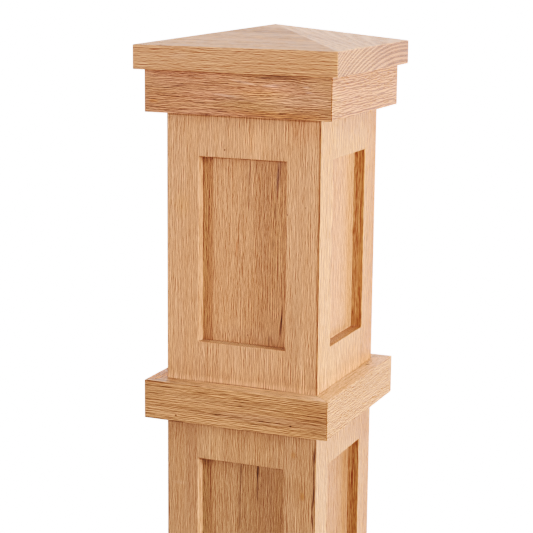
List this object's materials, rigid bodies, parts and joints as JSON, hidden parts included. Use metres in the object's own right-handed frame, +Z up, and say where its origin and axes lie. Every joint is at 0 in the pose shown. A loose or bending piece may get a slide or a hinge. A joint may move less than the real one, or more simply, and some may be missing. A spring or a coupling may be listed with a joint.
{
  "type": "newel post",
  "caption": "Square hollow box newel post in bare oak, with a low pyramid cap, mitred frieze and collar strips, recessed flat panels and a plain plinth.",
  "frame": {"origin": "middle of the underside, on the floor", "axes": "+Z up along the post, -Y towards the front face, +X towards the right face"},
  "size_m": [0.2072, 0.2072, 1.42],
  "materials": {
    "cap": "bare planed oak, end grain on two edges",
    "frieze": "bare planed oak, reddish, horizontal grain",
    "shaft": "bare planed oak, vertical grain",
    "panel": "bare planed oak, darker, vertical grain",
    "collar": "bare planed oak, horizontal grain",
    "plinth": "bare planed oak, horizontal grain"
  },
  "bodies": {
    "root": {"cap": "cap", "frieze_front": "frieze", "shaft_front": "shaft", "upper_panel_front": "panel", "lower_panel_front": "panel", "collar_front": "collar", "plinth_front": "plinth", "frieze_right": "frieze", "shaft_right": "shaft", "upper_panel_right": "panel", "lower_panel_right": "panel", "collar_right": "collar", "plinth_right": "plinth", "frieze_back": "frieze", "shaft_back": "shaft", "upper_panel_back": "panel", "lower_panel_back": "panel", "collar_back": "collar", "plinth_back": "plinth", "frieze_left": "frieze", "shaft_left": "shaft", "upper_panel_left": "panel", "lower_panel_left": "panel", "collar_left": "collar", "plinth_left": "plinth"}
  },
  "joints": []
}
